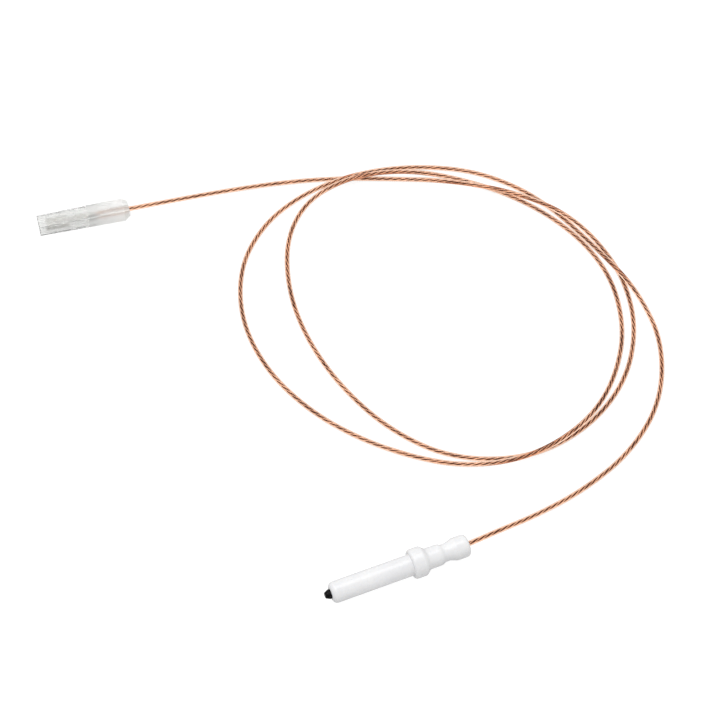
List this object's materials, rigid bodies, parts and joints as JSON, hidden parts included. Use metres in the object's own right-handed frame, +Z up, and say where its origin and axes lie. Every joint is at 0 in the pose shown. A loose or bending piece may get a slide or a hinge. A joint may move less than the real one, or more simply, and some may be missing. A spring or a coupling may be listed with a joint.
{
  "type": "ignition electrode",
  "caption": "Spark ignition electrode: collared white ceramic insulator with a dark metal tip, and a looped clear-insulated copper lead ending in a sleeved push-on terminal.",
  "frame": {"origin": "centre of the collar's front face, on the insulator's axis; the floor that the object lies on is 4.2 mm below", "axes": "+X along the insulator's axis, from the spark tip towards the lead; +Z up, away from the floor"},
  "size_m": [0.1605, 0.1669, 0.0084],
  "materials": {
    "white_glaze": "glossy glaze",
    "dark_oxidised_metal": "dark oxide, satin",
    "tinned_brass": "tinned, satin",
    "white_cement": "matt, unglazed",
    "clear_insulation": "clear fluoropolymer, glossy",
    "bare_copper": "bare copper strands",
    "natural_nylon": "translucent natural nylon, satin"
  },
  "bodies": {
    "root": {"ceramic_insulator": "white_glaze", "electrode_pin": "dark_oxidised_metal", "crimp_sleeve": "tinned_brass", "potting": "white_cement", "lead_insulation": "clear_insulation", "lead_conductor": "bare_copper", "receptacle_terminal": "tinned_brass"},
    "sleeve": {"terminal_housing": "natural_nylon"}
  },
  "joints": [
    {"name": "sleeve_slide", "type": "slide", "parent": "root", "child": "sleeve", "axis": [0.9907, -0.1364, 0], "range_m": [0, 0.024]}
  ]
}
